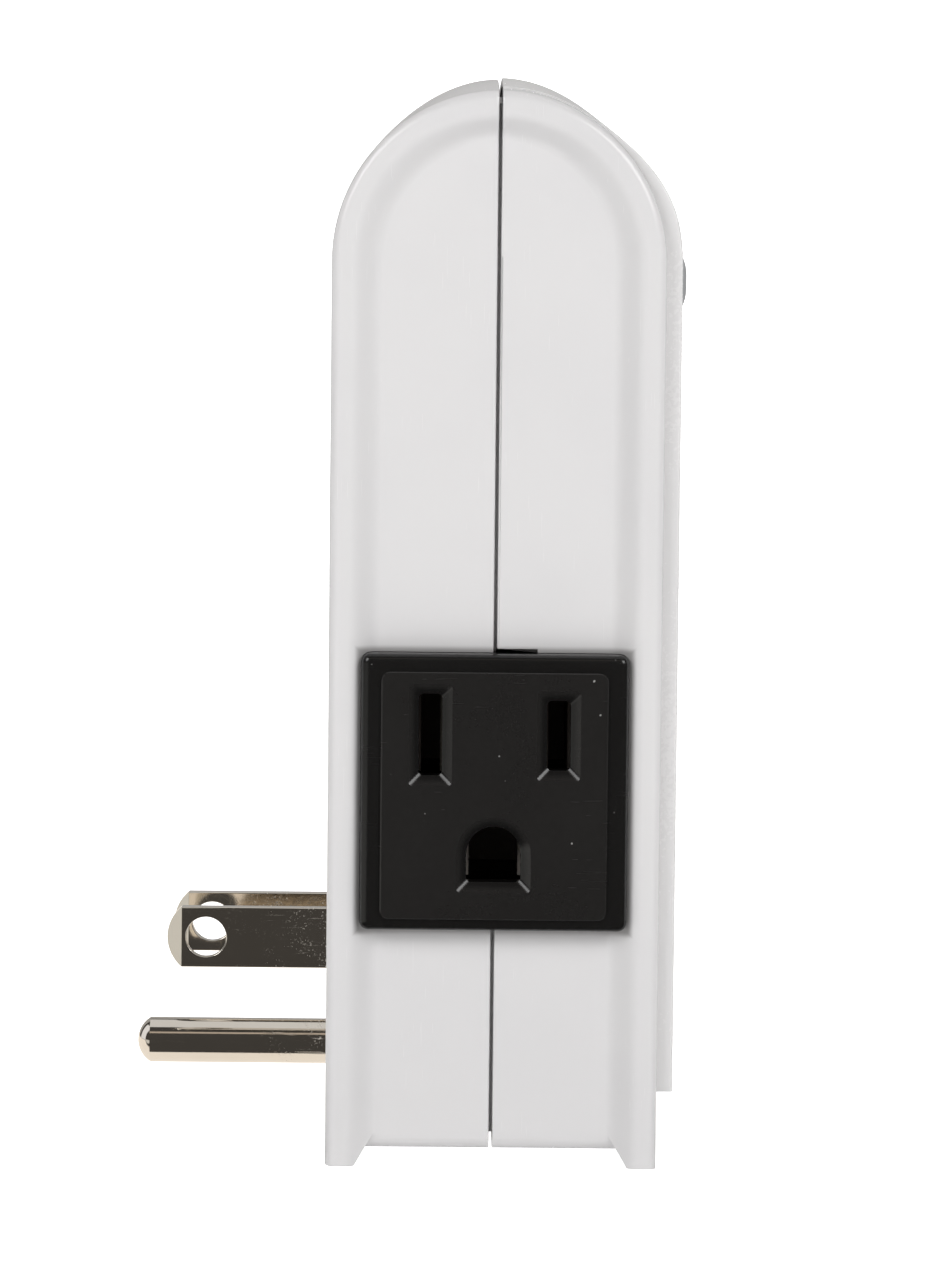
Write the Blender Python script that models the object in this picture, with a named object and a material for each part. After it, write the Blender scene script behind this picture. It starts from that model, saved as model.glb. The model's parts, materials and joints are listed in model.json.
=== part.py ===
"""Plug-in power meter with an outlet in its side, as separate pieces. Metres, +Z up.

The origin lies on the flat rear face, midway between the two blades. The display faces -Y,
the blades point along +Y and the outlet faces -X.
"""

import math

import bmesh
import bpy
from mathutils import Matrix, Vector

# Casing
MM = 0.001
GAP = 0.3 * MM
CASE_HALF_WIDTH = 31.0 * MM
CASE_DEPTH = 33.0 * MM
CASE_RADIUS = CASE_DEPTH / 2
SEAM_Y = -CASE_RADIUS
SEAM_GAP = 0.4 * MM
BASE_Z = -19.7 * MM
SPRING_Z = 70.3 * MM
CROWN = 2.2 * MM
CROWN_FALL = 3.3
WALL = 2.2 * MM
ARC_STEPS = 12
EDGE_ROUND = 0.8 * MM
RIM_WIDTH = 2.76 * MM
RECESS_DEPTH = 1.8 * MM
RECESS_INSET = 4.8 * MM
RECESS_X = CASE_HALF_WIDTH - RECESS_DEPTH
CAVITY_X = RECESS_X - WALL
CHANNEL_RISE = 1.5 * MM

# Front cover: the plate round the display and the keys
COVER_HALF_WIDTH = 29.0 * MM
COVER_PROUD = 1.65 * MM
COVER_THIN = 0.15 * MM
COVER_POCKET = 1.2 * MM
COVER_BOTTOM = -12.2 * MM
COVER_FRONT = -CASE_DEPTH - COVER_PROUD
COVER_BACK = -CASE_DEPTH + COVER_POCKET - GAP
WINDOW_Z = 45.5 * MM
LENS_SIZE = (46.0 * MM, 24.0 * MM)
LENS_DEPTH = 1.15 * MM
GLASS_SIZE = (43.0 * MM, 21.0 * MM)
GLASS_FRONT = -31.4 * MM
GLASS_BACK = -29.2 * MM
FRAME_SIZE = (49.4 * MM, 27.4 * MM)
FRAME_FRONT = -31.6 * MM
FRAME_BACK = -28.4 * MM
VIEW_SIZE = (41.0 * MM, 19.0 * MM)

# Keys
KEY_SPACING = 14.0 * MM
KEY_Z = 68.5 * MM
KEY_SIZE = (11.0 * MM, 4.8 * MM)
KEY_PROUD = 0.7 * MM
KEY_CORNER = 0.8 * MM
KEY_XS = [(index - 1.5) * KEY_SPACING for index in range(4)]
FLANGE_FRONT = COVER_BACK + 0.4 * MM
FLANGE_BACK = FLANGE_FRONT + 1.0 * MM

# Display board
BOARD_FRONT = -26.9 * MM
BOARD_THICKNESS = 1.6 * MM
BOARD_CENTRE = (0, 53 * MM)
BOARD_SIZE = (51 * MM, 39 * MM)
BOARD_SCREW = (22.5 * MM, 61 * MM)
CONNECTOR_SIZE = (38 * MM, 2.2 * MM)
CHIP_CENTRE = (-4 * MM, 52 * MM)
CHIP_SIZE = (10 * MM, 10 * MM)
SWITCH_FRONT = -28.9 * MM
SWITCH_SIZE = (6 * MM, 6 * MM)
PLUNGER = (-29.6 * MM, -28.3 * MM, 1.5 * MM)
STEM_RADIUS = 1.2 * MM
STEM_TIP = -29.9 * MM

# Outlet, a three-hole socket in the side
OUTLET_X = -32.0 * MM
OUTLET_SIZE = (26.5 * MM, 27.5 * MM)
OUTLET_Z = 17.85 * MM
OUTLET_PLATE = (22.5 * MM, 24.6 * MM)
PLATE_PROUD = 0.35 * MM
PLATE_DROP = 0.3 * MM
SLOT_Z = 23.6 * MM
SLOT_SPACING = 12.7 * MM
GROUND_DROP = 11.9 * MM
OUTLET_BODY = (23.0 * MM, 24.6 * MM)
OUTLET_SHOULDER_X = -26.9 * MM
OUTLET_BACK_X = -9.0 * MM
CHAMFER = 1.0 * MM
NEUTRAL_SLOT = (2.3 * MM, 8.1 * MM)
HOT_SLOT = (2.3 * MM, 6.9 * MM)
GROUND_HOLE = (5.4 * MM, 5.6 * MM)
FACE_THICKNESS = 3.0 * MM
CONTACT_THICKNESS = 0.6 * MM
BLADE_CONTACT = (1.9 * MM, 8 * MM)
GROUND_CONTACT = (4.9 * MM, 5 * MM)
CONTACT_FRONT = -27 * MM
CONTACT_WEB = -13 * MM
CONTACT_TAIL = -5 * MM

# Blades and pin
BLADE_X = 6.35 * MM
BLADE_HEIGHT = 6.35 * MM
BLADE_THICKNESS = 1.5 * MM
BLADE_LENGTH = 17.25 * MM
BLADE_ROOT = -12.0 * MM
BLADE_HOLE = (13.2 * MM, 2.1 * MM)
PIN_Z = -11.9 * MM
PIN_RADIUS = 2.38 * MM
PIN_LENGTH = 20.7 * MM
PIN_NOSE = 1.5 * MM
PRONG_BASE = ((-11 * MM, -9.5 * MM, -16 * MM), (11 * MM, -2.5 * MM, 4.6 * MM))

# Meter board and screws
METER_X = 11.0 * MM
SCREW_PLACES = [(side * 22.0 * MM, z * MM) for z in (-10.5, 77.5) for side in (-1, 1)]
SCREW_RADIUS = 1.4 * MM
SHANK_BACK = -7.7 * MM
HEAD_RADIUS = 2.8 * MM
HEAD_BACK = -5.4 * MM
POST_RADIUS = 4.2 * MM
LABEL_CENTRE = (0, 44 * MM)
LABEL_SIZE = (40 * MM, 26 * MM)

X_AXIS = Vector((1, 0, 0))
Y_AXIS = Vector((0, 1, 0))


def clear_scene():
    for old in list(bpy.data.objects):
        bpy.data.objects.remove(old)


def finish(name, colour, roughness=0.5, metallic=0.0):
    """A plain Principled material."""
    material = bpy.data.materials.new(name)
    material.use_nodes = True
    shader = material.node_tree.nodes["Principled BSDF"]
    shader.inputs["Base Color"].default_value = (*colour, 1)
    shader.inputs["Roughness"].default_value = roughness
    shader.inputs["Metallic"].default_value = metallic
    return material


def add(name, bm, material=None):
    """An object from a bmesh: a piece if it has a material, otherwise a hidden cutter."""
    bmesh.ops.recalc_face_normals(bm, faces=bm.faces)
    mesh = bpy.data.meshes.new(name)
    bm.to_mesh(mesh)
    bm.free()
    piece = bpy.data.objects.new(name, mesh)
    bpy.context.scene.collection.objects.link(piece)
    if material:
        mesh.materials.append(material)
        mesh.shade_smooth()
        mesh.set_sharp_from_angle(angle=math.radians(30))
    else:
        piece.hide_render = True
        piece.display_type = "WIRE"
    return piece


def combine(piece, other, operation="DIFFERENCE"):
    """Cut the other solid out of the piece, or join it on."""
    modifier = piece.modifiers.new(other.name, "BOOLEAN")
    modifier.operation = operation
    modifier.object = other


def box(name, low, high, material=None, bevel=0.0):
    """A block between two corners, given in metres, with its edges bevelled if asked."""
    bm = bmesh.new()
    bmesh.ops.create_cube(bm, size=1)
    low, high = Vector(low), Vector(high)
    bmesh.ops.scale(bm, vec=high - low, verts=bm.verts)
    bmesh.ops.translate(bm, vec=(low + high) / 2, verts=bm.verts)
    if bevel:
        bmesh.ops.bevel(bm, geom=bm.edges, offset=bevel, segments=2, profile=0.5, affect="EDGES")
    return add(name, bm, material)


def plate(name, centre, size, front, back, material=None, bevel=0.0):
    """A block that faces -Y: its centre and size are along X and Z."""
    low = (centre[0] - size[0] / 2, front, centre[1] - size[1] / 2)
    high = (centre[0] + size[0] / 2, back, centre[1] + size[1] / 2)
    return box(name, low, high, material, bevel)


def loft(name, sections, material=None):
    """A closed solid through rings of points, with flat ends."""
    bm = bmesh.new()
    rings = [[bm.verts.new(point) for point in section] for section in sections]
    for ring, following in zip(rings, rings[1:]):
        for index, start in enumerate(ring):
            after = (index + 1) % len(ring)
            bm.faces.new((start, ring[after], following[after], following[index]))
    bm.faces.new(rings[0])
    bm.faces.new(rings[-1])
    return add(name, bm, material)


def turned(name, stations, centre, axis, material=None, sides=20):
    """A turned solid: each station is a distance along the axis and a radius."""
    across = axis.orthogonal().normalized()
    centre = Vector(centre)
    sections = []
    for along, radius in stations:
        turns = [Matrix.Rotation(math.tau * side / sides, 3, axis) for side in range(sides)]
        sections.append([centre + axis * along + turn @ across * radius for turn in turns])
    return loft(name, sections, material)


def strip(name, path, thickness, low, high, material):
    """A flat strip bent along a path of (x, y) points, from low to high in Z."""
    points = [Vector(point) for point in path]
    left, right = [], []
    for index, point in enumerate(points):
        before = points[max(index - 1, 0)]
        after = points[min(index + 1, len(points) - 1)]
        direction = (after - before).normalized()
        side = Vector((-direction.y, direction.x)) * thickness / 2
        left.append(point + side)
        right.append(point - side)
    outline = left + right[::-1]
    rings = [[(point.x, point.y, z) for point in outline] for z in (low, high)]
    return loft(name, rings, material)


def crown(x, angle):
    """How far the top rises in the middle of the width. The angle is 0 at the spring line."""
    across = 1 - min(abs(x) / CASE_HALF_WIDTH, 1) ** 4
    return CROWN * across * max(math.sin(angle), 0) ** CROWN_FALL


def arc_point(x, side, inset, angle):
    radius = CASE_RADIUS - inset
    y = SEAM_Y + side * radius * math.cos(angle)
    return Vector((x, y, SPRING_Z + radius * math.sin(angle) + crown(x, angle)))


def half_ring(x, side, inset, bottom, seam_gap=SEAM_GAP):
    """The outline of half the casing. The side is 1 for the rear half and -1 for the front."""
    seam = SEAM_Y + side * seam_gap / 2
    last = math.acos(seam_gap / 2 / (CASE_RADIUS - inset))
    arc = [arc_point(x, side, inset, last * step / ARC_STEPS) for step in range(ARC_STEPS + 1)]
    return [Vector((x, seam, bottom)), Vector((x, arc[0].y, bottom))] + arc


def arch_ring(x, inset, bottom):
    """The outline of the whole casing, front and rear."""
    halves = []
    for side in (1, -1):
        arc = [
            arc_point(x, side, inset, math.pi / 2 * step / ARC_STEPS)
            for step in range(ARC_STEPS + 1)
        ]
        halves.append([Vector((x, arc[0].y, bottom))] + arc)
    return halves[0] + halves[1][-2::-1]


def cover_proud(angle):
    """How far the cover stands out of the casing: fully on the front, and little on top."""
    from_top = 90 - math.degrees(angle)
    blend = min(max((from_top - 32) / 46, 0), 1)
    return COVER_THIN + (COVER_PROUD - COVER_THIN) * blend * blend * (3 - 2 * blend)


def cover_ring(x, inner, outer, bottom, seam_gap):
    """The outline of a skin over the front: inner and outer give the insets at an angle."""
    seam = seam_gap / 2
    rows = []
    for inset in (inner, outer):
        last = math.acos(seam / (CASE_RADIUS - inset(math.pi / 2)))
        angles = [last * step / ARC_STEPS for step in range(ARC_STEPS + 1)]
        arc = [arc_point(x, -1, inset(angle), angle) for angle in angles]
        rows.append([Vector((x, arc[0].y, bottom))] + arc)
    return rows[0] + rows[1][::-1]


def spaced(half_width, edge):
    """Stations across the width, closer together near the edges."""
    inner = [half_width * share for share in (-0.85, -0.6, -0.3, 0, 0.3, 0.6, 0.85)]
    return [-half_width, edge - half_width] + inner + [half_width - edge, half_width]


def casing_half(name, side, material):
    """One half of the casing, hollow, with its screw posts, rims and ridges."""
    stations = spaced(CASE_HALF_WIDTH, EDGE_ROUND)
    sections = []
    for x in stations:
        inset = EDGE_ROUND * 0.75 if abs(x) == CASE_HALF_WIDTH else 0
        sections.append(half_ring(x, side, inset, BASE_Z))
    shell = loft(name, sections, material)
    inset = WALL if side > 0 else WALL + COVER_POCKET
    floor = BASE_Z + CHANNEL_RISE + WALL
    ends = (-CAVITY_X, CAVITY_X)
    cavity = loft(f"cut_{name}_cavity", [half_ring(x, side, inset, floor, -MM) for x in ends])
    for index, (x, z) in enumerate(SCREW_PLACES):
        start, end = sorted((side * SEAM_GAP / 2, side * CASE_RADIUS))
        ends = [(start, POST_RADIUS), (end, POST_RADIUS)]
        post = turned(f"cut_{name}_post_{index}", ends, (x, SEAM_Y, z), Y_AXIS)
        combine(cavity, post)
    combine(shell, cavity)
    return shell


def side_recess(side):
    """The dished panel in one side: its walls curve in from the rim to a flat floor."""
    depths = [(-0.5, -0.75), (0, -0.25), (0.35, 0.05), (0.7, 0.4), (0.92, 0.72), (1, 1)]
    sections = []
    for depth, share in depths:
        x = side * (CASE_HALF_WIDTH - depth * RECESS_DEPTH)
        inset = RIM_WIDTH + share * (RECESS_INSET - RIM_WIDTH)
        sections.append(arch_ring(x, inset, BASE_Z - MM))
    return loft(f"cut_recess_{side}", sections)


def base_channel():
    """The channel along the bottom, between the front and rear ridges."""
    rows = []
    for half_width in (-CASE_HALF_WIDTH - MM, CASE_HALF_WIDTH + MM):
        corners = [(-2.4, -1.0), (-3.7, 1.5), (-29.3, 1.5), (-30.6, -1.0)]
        rows.append([Vector((half_width, y * MM, BASE_Z + z * MM)) for y, z in corners])
    return loft("cut_base_channel", rows)


def funnel(name, centre, size, depth):
    """A slot with a chamfered mouth in the outlet's face: centre and size along Y and Z."""
    sections = []
    for x, grow in ((-MM, CHAMFER + MM), (CHAMFER, 0), (depth, 0)):
        half_y, half_z = size[0] / 2 + grow, size[1] / 2 + grow
        corners = [(-half_y, -half_z), (half_y, -half_z), (half_y, half_z), (-half_y, half_z)]
        sections.append([(OUTLET_X + x, centre[0] + y, centre[1] + z) for y, z in corners])
    return loft(name, sections)


def ground_funnel(name, centre, size, depth):
    """The D-shaped ground hole, round at the top and flat at the bottom."""
    sections = []
    for x, grow in ((-MM, CHAMFER + MM), (CHAMFER, 0), (depth, 0)):
        radius = size[0] / 2 + grow
        low = centre[1] + size[0] / 2 - size[1] - grow
        ring = [(OUTLET_X + x, centre[0] - radius, low), (OUTLET_X + x, centre[0] + radius, low)]
        for step in range(ARC_STEPS + 1):
            angle = math.pi * step / ARC_STEPS
            y = centre[0] + radius * math.cos(angle)
            ring.append((OUTLET_X + x, y, centre[1] + radius * math.sin(angle)))
        sections.append(ring)
    return loft(name, sections)


def make_casing(white, steel):
    rear = casing_half("rear_shell", 1, white)
    front = casing_half("front_shell", -1, white)
    low_z = OUTLET_Z - OUTLET_SIZE[1] / 2 - GAP
    high_z = OUTLET_Z + OUTLET_SIZE[1] / 2 + GAP
    half = OUTLET_SIZE[0] / 2 + GAP
    hole_low = (OUTLET_X - MM, SEAM_Y - half, low_z)
    hole_high = (-CAVITY_X + MM, SEAM_Y + half, high_z)
    shared = [side_recess(-1), side_recess(1), base_channel()]
    shared.append(box("cut_outlet_hole", hole_low, hole_high))
    for shell in (rear, front):
        for cutter in shared:
            combine(shell, cutter)
    pocket_ends = (-COVER_HALF_WIDTH - GAP / 2, COVER_HALF_WIDTH + GAP / 2)
    stations = [pocket_ends[0]] + spaced(COVER_HALF_WIDTH, MM)[2:-2] + [pocket_ends[1]]
    rings = [
        cover_ring(x, lambda _: COVER_POCKET, lambda _: -5 * MM, COVER_BOTTOM - GAP / 2, -MM)
        for x in stations
    ]
    combine(front, loft("cut_cover_pocket", rings))
    frame_hole = [size + 2 * GAP for size in FRAME_SIZE]
    wall_back = -CASE_DEPTH + COVER_POCKET + WALL + MM
    centre = (0, WINDOW_Z)
    combine(front, plate("cut_display_hole", centre, frame_hole, COVER_BACK - MM, wall_back))
    key_hole = (KEY_SPACING * 4 - MM, KEY_SIZE[1] + 3 * MM)
    combine(front, plate("cut_key_hole", (0, KEY_Z), key_hole, COVER_BACK - MM, wall_back))
    for index, (x, z) in enumerate(SCREW_PLACES):
        shaft = [(-27.5 * MM, SCREW_RADIUS + GAP), (5 * MM, SCREW_RADIUS + GAP)]
        hole = turned(f"cut_screw_hole_{index}", shaft, (x, 0, z), Y_AXIS)
        combine(rear, hole)
        combine(front, hole)
        sink = [(SHANK_BACK - GAP, HEAD_RADIUS + GAP), (5 * MM, HEAD_RADIUS + GAP)]
        combine(rear, turned(f"cut_screw_sink_{index}", sink, (x, 0, z), Y_AXIS))
        shank = [(-27 * MM, 0.5 * MM), (-26 * MM, SCREW_RADIUS), (SHANK_BACK, SCREW_RADIUS)]
        rim = HEAD_BACK - 0.6 * MM
        head = [(SHANK_BACK, HEAD_RADIUS), (rim, HEAD_RADIUS), (HEAD_BACK, 2 * MM)]
        turned(f"case_screw_{index + 1}", shank + head, (x, 0, z), Y_AXIS, steel, 16)
    for side, name in ((-1, "neutral"), (1, "hot")):
        slot = (BLADE_THICKNESS + 2 * GAP, BLADE_HEIGHT + 2 * GAP)
        place = (side * BLADE_X, 0)
        combine(rear, plate(f"cut_{name}_opening", place, slot, -4 * MM, 2 * MM))
    pin_hole = [(-4 * MM, PIN_RADIUS + GAP), (2 * MM, PIN_RADIUS + GAP)]
    combine(rear, turned("cut_pin_opening", pin_hole, (0, 0, PIN_Z), Y_AXIS))
    pocket = [size + MM for size in LABEL_SIZE]
    combine(rear, plate("cut_label_pocket", LABEL_CENTRE, pocket, -0.6 * MM, MM))


def make_cover(white):
    sections = []
    for x in spaced(COVER_HALF_WIDTH, 0.4 * MM):
        edge = 0.3 * MM if abs(x) == COVER_HALF_WIDTH else 0
        sections.append(
            cover_ring(
                x,
                lambda _: COVER_POCKET - GAP,
                lambda angle, edge=edge: edge - cover_proud(angle),
                COVER_BOTTOM,
                SEAM_GAP,
            )
        )
    cover = loft("front_cover", sections, white)
    centre = (0, WINDOW_Z)
    seat = [size + 2 * GAP for size in LENS_SIZE]
    seat_floor = COVER_FRONT + LENS_DEPTH + GAP
    combine(cover, plate("cut_lens_seat", centre, seat, COVER_FRONT - MM, seat_floor))
    combine(cover, plate("cut_window", centre, VIEW_SIZE, COVER_FRONT - MM, COVER_BACK + MM))
    for index, x in enumerate(KEY_XS):
        hole = [size + 2 * GAP for size in KEY_SIZE]
        cutter = plate(f"cut_key_{index}", (x, KEY_Z), hole, COVER_FRONT - 2 * MM, COVER_BACK + MM)
        combine(cover, cutter)


def make_display(clear, glass, black, green, rubber, steel):
    centre = (0, WINDOW_Z)
    lens_back = COVER_FRONT + LENS_DEPTH
    plate("lcd_lens", centre, LENS_SIZE, COVER_FRONT, lens_back, clear, 0.15 * MM)
    frame = plate("lcd_frame", centre, FRAME_SIZE, FRAME_FRONT, FRAME_BACK, black)
    glass_hole = [size + 2 * GAP for size in GLASS_SIZE]
    combine(frame, plate("cut_frame", centre, glass_hole, FRAME_FRONT - MM, FRAME_BACK + MM))
    plate("lcd_glass", centre, GLASS_SIZE, GLASS_FRONT, GLASS_BACK, glass, 0.1 * MM)
    strip_place = (0, WINDOW_Z - GLASS_SIZE[1] / 2 + 1.6 * MM)
    strip_back = BOARD_FRONT - GAP
    plate("lcd_connector", strip_place, CONNECTOR_SIZE, GLASS_BACK + GAP, strip_back, rubber)
    board_back = BOARD_FRONT + BOARD_THICKNESS
    board = plate("display_board", BOARD_CENTRE, BOARD_SIZE, BOARD_FRONT, board_back, green)
    chip = (board_back + GAP, board_back + GAP + 1.5 * MM)
    plate("display_chip", CHIP_CENTRE, CHIP_SIZE, *chip, black, 0.2 * MM)
    for index, side in enumerate((-1, 1)):
        place = (side * BOARD_SCREW[0], 0, BOARD_SCREW[1])
        hole = [(-28 * MM, 1.3 * MM), (-24 * MM, 1.3 * MM)]
        combine(board, turned(f"cut_board_hole_{index}", hole, place, Y_AXIS))
        stations = [
            (-29.2 * MM, MM),
            (board_back + GAP, MM),
            (board_back + GAP, 2 * MM),
            (board_back + 1.4 * MM, 1.8 * MM),
        ]
        turned(f"board_screw_{index + 1}", stations, place, Y_AXIS, steel, 14)


def make_keys(grey, black, cream):
    for index, x in enumerate(KEY_XS):
        number = index + 1
        wide = (KEY_SIZE[0] + 1.6 * MM, KEY_SIZE[1] + 1.8 * MM)
        sections = []
        rows = [
            (COVER_FRONT - KEY_PROUD, -0.9 * MM),
            (COVER_FRONT - KEY_PROUD + 0.25 * MM, -0.2 * MM),
            (COVER_FRONT, 0),
            (FLANGE_FRONT, 0),
        ]
        for y, grow in rows:
            half_x, half_z = KEY_SIZE[0] / 2 + grow, KEY_SIZE[1] / 2 + grow
            ring = []
            for corner in range(4):
                corner_x = x + (half_x - KEY_CORNER) * (1 if corner in (0, 3) else -1)
                corner_z = KEY_Z + (half_z - KEY_CORNER) * (1 if corner in (0, 1) else -1)
                for step in range(4):
                    angle = math.radians(90 * corner + 30 * step)
                    out_x, out_z = KEY_CORNER * math.cos(angle), KEY_CORNER * math.sin(angle)
                    ring.append((corner_x + out_x, y, corner_z + out_z))
            sections.append(ring)
        cap = loft(f"key_cap_{number}", sections, grey)
        flange_start = FLANGE_FRONT - 0.1 * MM
        flange = plate(f"join_flange_{index}", (x, KEY_Z), wide, flange_start, FLANGE_BACK)
        combine(cap, flange, "UNION")
        stem = [(FLANGE_BACK - 0.1 * MM, STEM_RADIUS), (STEM_TIP, STEM_RADIUS)]
        stem = turned(f"join_stem_{index}", stem, (x, 0, KEY_Z), Y_AXIS, sides=12)
        combine(cap, stem, "UNION")
        switch = (SWITCH_FRONT, BOARD_FRONT - GAP)
        housing = plate(f"switch_housing_{number}", (x, KEY_Z), SWITCH_SIZE, *switch, black)
        bore = [(-30 * MM, 1.9 * MM), (-26 * MM, 1.9 * MM)]
        combine(housing, turned(f"cut_bore_{index}", bore, (x, 0, KEY_Z), Y_AXIS, sides=16))
        button = [(PLUNGER[0], PLUNGER[2]), (PLUNGER[1], PLUNGER[2])]
        turned(f"switch_plunger_{number}", button, (x, 0, KEY_Z), Y_AXIS, cream, 16)


def make_outlet(black, brass):
    half_y, half_z = OUTLET_SIZE[0] / 2, OUTLET_SIZE[1] / 2
    frame_x = OUTLET_X + PLATE_PROUD
    low = (frame_x, SEAM_Y - half_y, OUTLET_Z - half_z)
    high = (OUTLET_SHOULDER_X, SEAM_Y + half_y, OUTLET_Z + half_z)
    housing = box("outlet_housing", low, high, black, 0.5 * MM)
    body_y, body_z = OUTLET_BODY[0] / 2, OUTLET_BODY[1] / 2
    low = (OUTLET_SHOULDER_X - MM, SEAM_Y - body_y, OUTLET_Z - body_z)
    high = (OUTLET_BACK_X, SEAM_Y + body_y, OUTLET_Z + body_z)
    combine(housing, box("join_outlet_body", low, high), "UNION")
    face_y, face_z = OUTLET_PLATE[0] / 2, OUTLET_PLATE[1] / 2
    low = (OUTLET_X, SEAM_Y - face_y, OUTLET_Z - PLATE_DROP - face_z)
    high = (OUTLET_SHOULDER_X - MM, SEAM_Y + face_y, OUTLET_Z - PLATE_DROP + face_z)
    combine(housing, box("join_outlet_face", low, high), "UNION")
    pocket_x = OUTLET_X + FACE_THICKNESS
    depth = FACE_THICKNESS + MM
    ground_z = SLOT_Z - GROUND_DROP
    for name, side, size in (("neutral", 1, NEUTRAL_SLOT), ("hot", -1, HOT_SLOT)):
        y = SEAM_Y + side * SLOT_SPACING / 2
        combine(housing, funnel(f"cut_{name}_slot", (y, SLOT_Z), size, depth))
        low = (pocket_x, y - 3 * MM, SLOT_Z - 5 * MM)
        high = (0, y + 3 * MM, SLOT_Z + 5 * MM)
        combine(housing, box(f"cut_{name}_pocket", low, high))
        make_contact(f"{name}_contact", y, SLOT_Z, BLADE_CONTACT, brass)
    combine(housing, ground_funnel("cut_ground_hole", (SEAM_Y, ground_z), GROUND_HOLE, depth))
    low = (pocket_x, SEAM_Y - 4.2 * MM, ground_z - 4.2 * MM)
    high = (0, SEAM_Y + 4.2 * MM, ground_z + 4.2 * MM)
    combine(housing, box("cut_ground_pocket", low, high))
    make_contact("ground_contact", SEAM_Y, ground_z, GROUND_CONTACT, brass)
    low = (OUTLET_BACK_X + GAP, SEAM_Y - body_y, OUTLET_Z - body_z)
    high = (OUTLET_BACK_X + GAP + 1.5 * MM, SEAM_Y + body_y, OUTLET_Z + body_z)
    cap = box("outlet_back_cap", low, high, black, 0.2 * MM)
    places = [(SEAM_Y + side * SLOT_SPACING / 2, SLOT_Z) for side in (1, -1)]
    for index, (y, z) in enumerate([*places, (SEAM_Y, ground_z)]):
        low = (-10 * MM, y - 0.7 * MM, z - 2.3 * MM)
        high = (0, y + 0.7 * MM, z + 2.3 * MM)
        combine(cap, box(f"cut_cap_slot_{index}", low, high))


def make_contact(name, y, z, gap_size, brass):
    """A folded spring clip: two leaves that take a blade, a web, and a tail out of the back."""
    gap, height = gap_size
    half = gap / 2 + CONTACT_THICKNESS
    low = (CONTACT_FRONT, y - half, z - height / 2)
    clip = box(name, low, (CONTACT_WEB, y + half, z + height / 2), brass)
    low = (CONTACT_FRONT - MM, y - gap / 2, z - height / 2 - MM)
    high = (CONTACT_WEB - CONTACT_THICKNESS, y + gap / 2, z + height / 2 + MM)
    combine(clip, box(f"cut_{name}", low, high))
    low = (CONTACT_WEB - 0.1 * MM, y - CONTACT_THICKNESS / 2, z - 2 * MM)
    high = (CONTACT_TAIL, y + CONTACT_THICKNESS / 2, z + 2 * MM)
    combine(clip, box(f"join_{name}_tail", low, high), "UNION")


def make_blades(nickel, black):
    half = BLADE_HEIGHT / 2
    corner = 1.6 * MM
    outline = [(BLADE_ROOT, -half), (BLADE_LENGTH - corner, -half)]
    for step in range(1, 6):
        angle = math.radians(-90 + 180 * step / 6)
        outline.append((BLADE_LENGTH - corner + corner * math.cos(angle), half * math.sin(angle)))
    outline += [(BLADE_LENGTH - corner, half), (BLADE_ROOT, half)]
    base = box("prong_base", *PRONG_BASE, black, 0.4 * MM)
    for side, name in ((-1, "neutral"), (1, "hot")):
        faces = [side * BLADE_X - BLADE_THICKNESS / 2, side * BLADE_X + BLADE_THICKNESS / 2]
        blade = loft(f"{name}_blade", [[(x, y, z) for y, z in outline] for x in faces], nickel)
        reach = BLADE_THICKNESS
        hole = [(-reach, BLADE_HOLE[1]), (reach, BLADE_HOLE[1])]
        place = (side * BLADE_X, BLADE_HOLE[0], 0)
        combine(blade, turned(f"cut_{name}_hole", hole, place, X_AXIS, sides=24))
        slot = (BLADE_THICKNESS + 2 * GAP, BLADE_HEIGHT + 2 * GAP)
        opening = plate(f"cut_{name}_seat", (side * BLADE_X, 0), slot, -11 * MM, 0)
        combine(base, opening)
    seat = [(-11 * MM, PIN_RADIUS + GAP), (0, PIN_RADIUS + GAP)]
    combine(base, turned("cut_pin_seat", seat, (0, 0, PIN_Z), Y_AXIS))
    stations = [(BLADE_ROOT, PIN_RADIUS)]
    for step in range(6):
        angle = math.radians(90 * step / 5 * 0.95)
        radius = PIN_RADIUS * (0.35 + 0.65 * math.cos(angle))
        stations.append((PIN_LENGTH - PIN_NOSE * (1 - math.sin(angle)), radius))
    turned("ground_pin", stations, (0, 0, PIN_Z), Y_AXIS, nickel, 24)


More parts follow.
